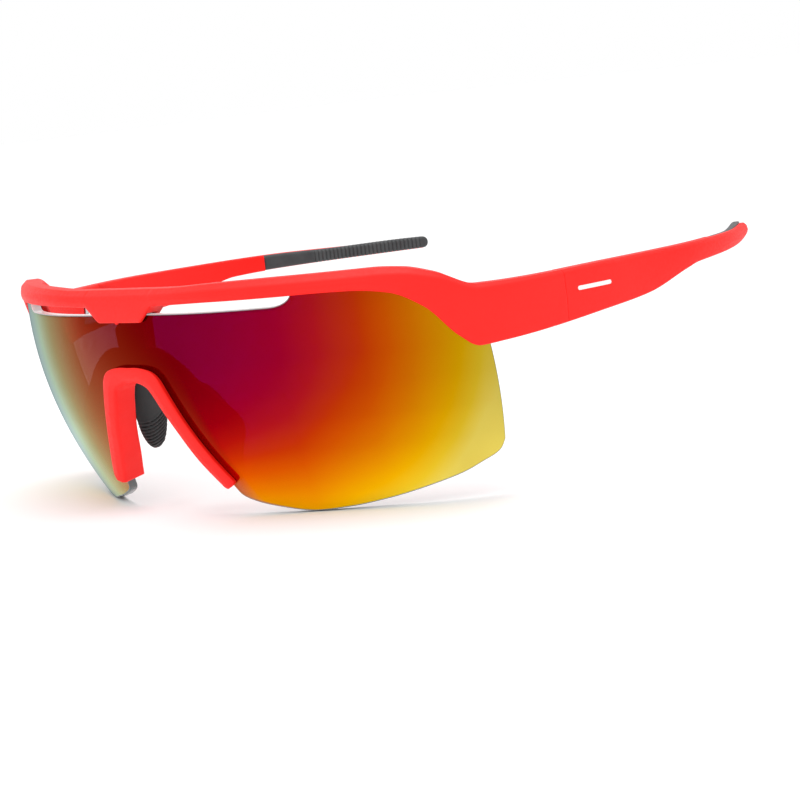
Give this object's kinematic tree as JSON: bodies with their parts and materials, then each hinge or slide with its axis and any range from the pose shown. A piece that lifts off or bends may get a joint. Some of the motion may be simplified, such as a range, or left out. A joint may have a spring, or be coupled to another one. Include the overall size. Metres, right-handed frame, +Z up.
{
  "type": "wraparound sport sunglasses",
  "caption": "Half-rimless wraparound sport sunglasses: brow frame with a one-piece mirrored shield lens, nose bridge, rubber nose pads and folding temples with ribbed rubber grips.",
  "frame": {"origin": "on the outer face of the brow frame, at the plane of symmetry, at the height of the temples' upper edges", "axes": "+X to the wearer's left, -Y out of the front, +Y along the open temples, +Z up"},
  "size_m": [0.145, 0.1371, 0.0463],
  "materials": {
    "red_nylon": "matte moulded nylon with a fine texture, coral red",
    "mirror_lens": "polycarbonate with a red-orange mirror coat whose colour shifts with the viewing angle",
    "rubber": "soft matte rubber, dark grey, ribbed where it grips",
    "steel": "stainless steel, satin"
  },
  "bodies": {
    "front": {"brow_frame": "red_nylon", "shield_lens": "mirror_lens", "nose_bridge": "red_nylon", "bridge_screw": "steel", "nose_pad_left": "rubber", "hinge_front_leaf_left": "steel", "hinge_screw_left": "steel", "rivet_front_left_1": "steel", "rivet_front_left_2": "steel", "nose_pad_right": "rubber", "hinge_front_leaf_right": "steel", "hinge_screw_right": "steel", "rivet_front_right_1": "steel", "rivet_front_right_2": "steel"},
    "temple_arm_left": {"temple_left": "red_nylon", "temple_grip_left": "rubber", "hinge_temple_leaf_left": "steel", "rivet_temple_left_1": "steel", "rivet_temple_left_2": "steel"},
    "temple_arm_right": {"temple_right": "red_nylon", "temple_grip_right": "rubber", "hinge_temple_leaf_right": "steel", "rivet_temple_right_1": "steel", "rivet_temple_right_2": "steel"}
  },
  "joints": [
    {"name": "temple_left_fold", "type": "hinge", "parent": "front", "child": "temple_arm_left", "pos_m": [0.06572, 0.04985, -0.0051], "axis": [0, 0, 1], "range_deg": [0, 72]},
    {"name": "temple_right_fold", "type": "hinge", "parent": "front", "child": "temple_arm_right", "pos_m": [-0.06572, 0.04985, -0.0051], "axis": [0, 0, -1], "range_deg": [0, 90]}
  ]
}
